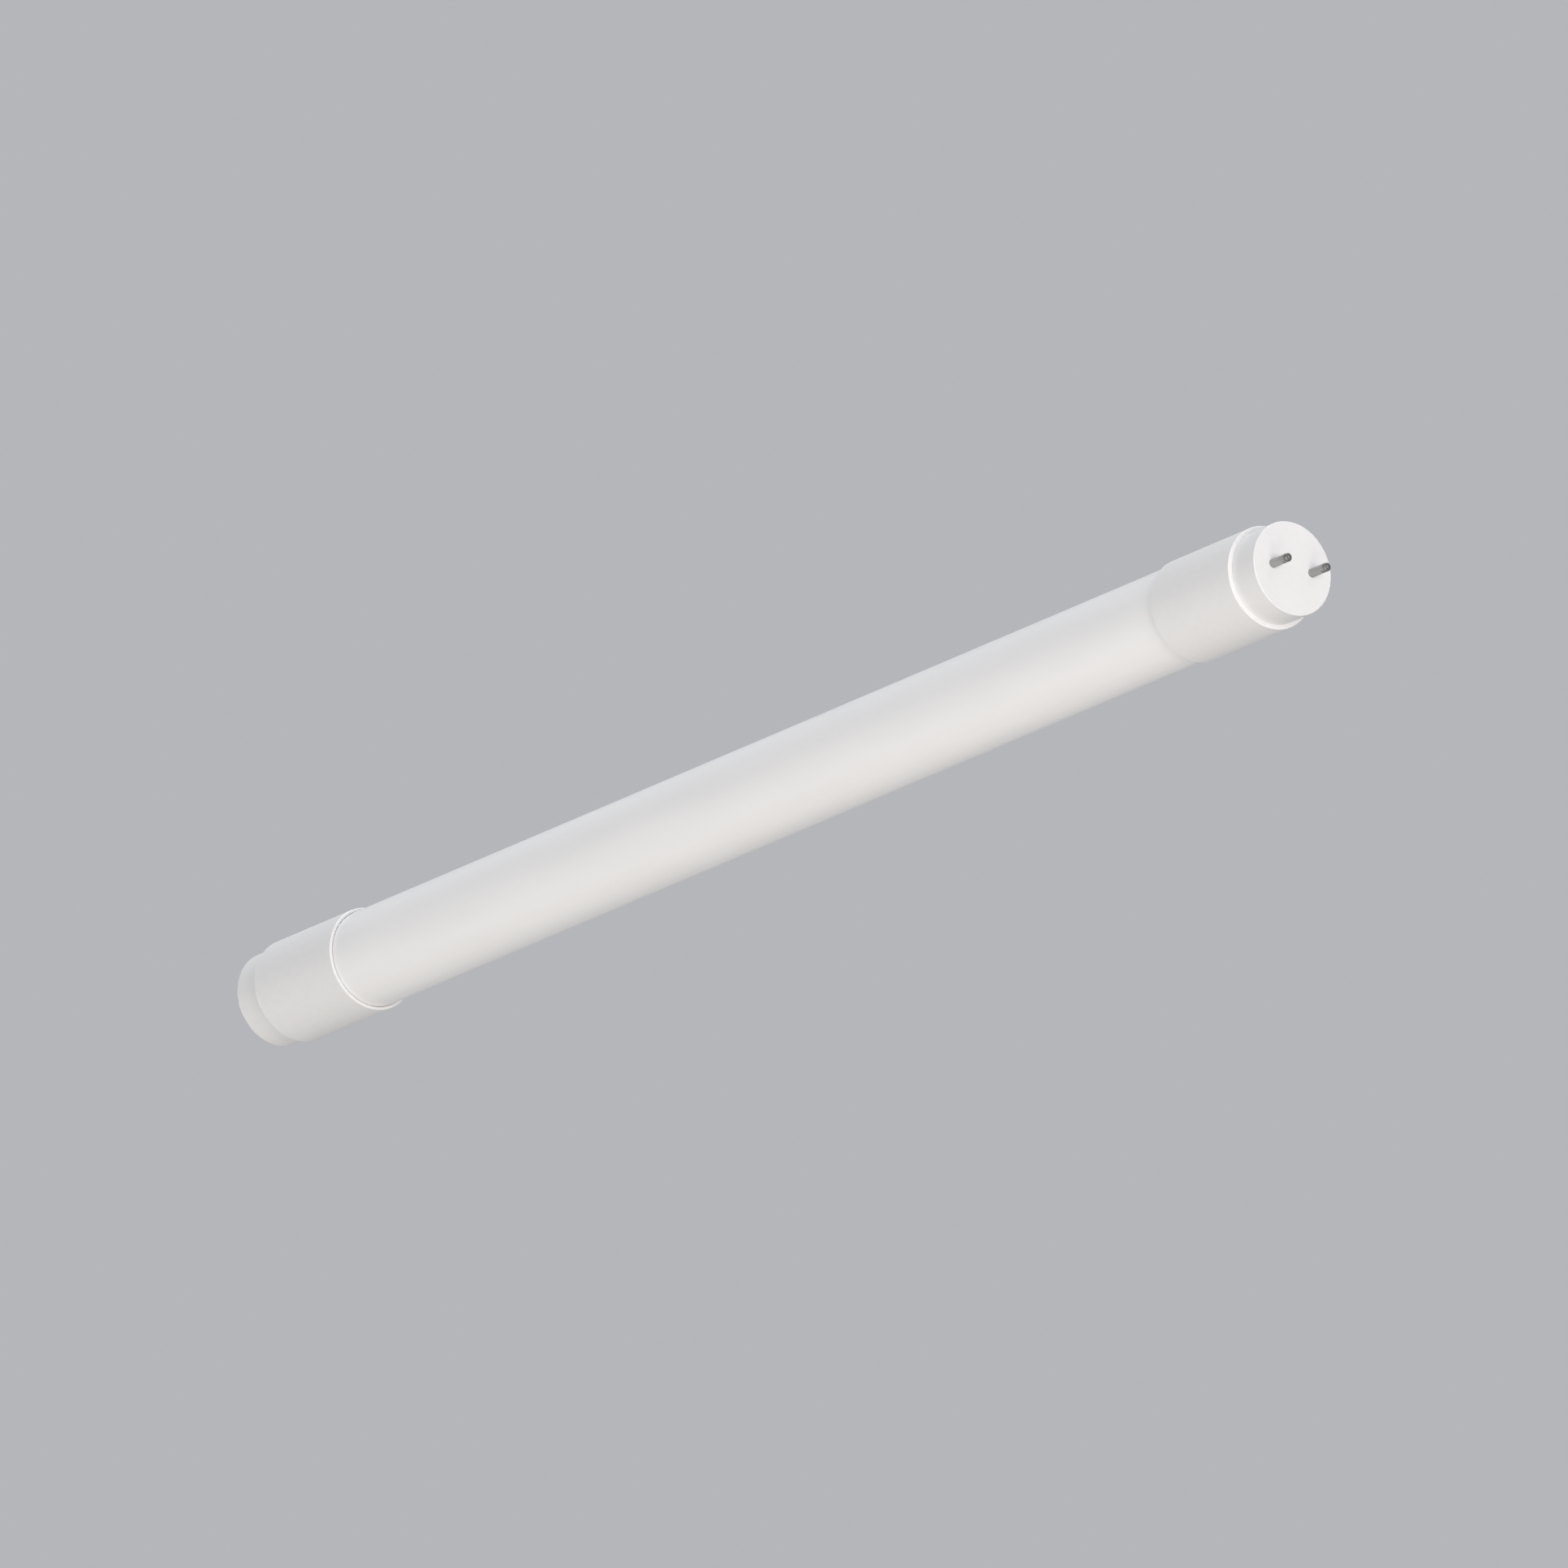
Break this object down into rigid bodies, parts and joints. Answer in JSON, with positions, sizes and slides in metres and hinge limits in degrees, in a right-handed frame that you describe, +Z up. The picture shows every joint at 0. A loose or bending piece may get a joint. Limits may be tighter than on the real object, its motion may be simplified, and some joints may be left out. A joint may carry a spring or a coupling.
{
  "type": "led tube",
  "caption": "Straight opal glass LED tube with a stepped white cap and a two-pin base at each end, diode strip and driver inside.",
  "frame": {"origin": "middle of the tube, on its axis, halfway between the two end faces", "axes": "X along the tube with +X at the end that the mains is wired to, Y along the line through each base's two pins, Z up with the light leaving along -Z"},
  "size_m": [0.4508, 0.0278, 0.0278],
  "materials": {
    "opal_glass": "opal white, satin outside",
    "cap_plastic": "moulded, satin",
    "pin_metal": "nickel plated brass, dull",
    "silicone": "cured silicone",
    "strip_aluminium": "white solder mask",
    "led_body": "white body with a yellow window",
    "board_laminate": "glass epoxy laminate",
    "fuse_body": "lacquered",
    "varistor_body": "dipped epoxy over ceramic",
    "film_case": "box case",
    "bulk_can": "sleeved can",
    "ferrite": "sintered ferrite",
    "copper_wire": "enamelled copper wire",
    "chip_body": "black moulded package",
    "resistor_body": "thick film chip",
    "wire_line": "insulated copper wire",
    "wire_neutral": "insulated copper wire"
  },
  "bodies": {
    "root": {"glass_tube": "opal_glass", "driver_end_cap": "cap_plastic", "plain_end_cap": "cap_plastic", "line_pin": "pin_metal", "neutral_pin": "pin_metal", "linked_pin_1": "pin_metal", "linked_pin_2": "pin_metal", "driver_end_seal": "silicone", "plain_end_seal": "silicone", "strip_bead": "silicone", "diode_strip": "strip_aluminium", "led_01": "led_body", "led_02": "led_body", "led_03": "led_body", "led_04": "led_body", "led_05": "led_body", "led_06": "led_body", "led_07": "led_body", "led_08": "led_body", "led_09": "led_body", "led_10": "led_body", "led_11": "led_body", "led_12": "led_body", "led_13": "led_body", "led_14": "led_body", "led_15": "led_body", "led_16": "led_body", "led_17": "led_body", "led_18": "led_body", "led_19": "led_body", "led_20": "led_body", "led_21": "led_body", "led_22": "led_body", "led_23": "led_body", "led_24": "led_body", "led_25": "led_body", "led_26": "led_body", "led_27": "led_body", "led_28": "led_body", "driver_board": "board_laminate", "input_fuse": "fuse_body", "varistor": "varistor_body", "film_capacitor": "film_case", "bulk_capacitor": "bulk_can", "choke_core": "ferrite", "choke_winding": "copper_wire", "bridge_rectifier": "chip_body", "driver_chip": "chip_body", "freewheel_diode": "chip_body", "sense_resistor_1": "resistor_body", "sense_resistor_2": "resistor_body", "line_wire": "wire_line", "strip_plus_wire": "wire_line", "neutral_wire": "wire_neutral", "strip_minus_wire": "wire_neutral", "link_wire": "wire_neutral"}
  },
  "joints": []
}
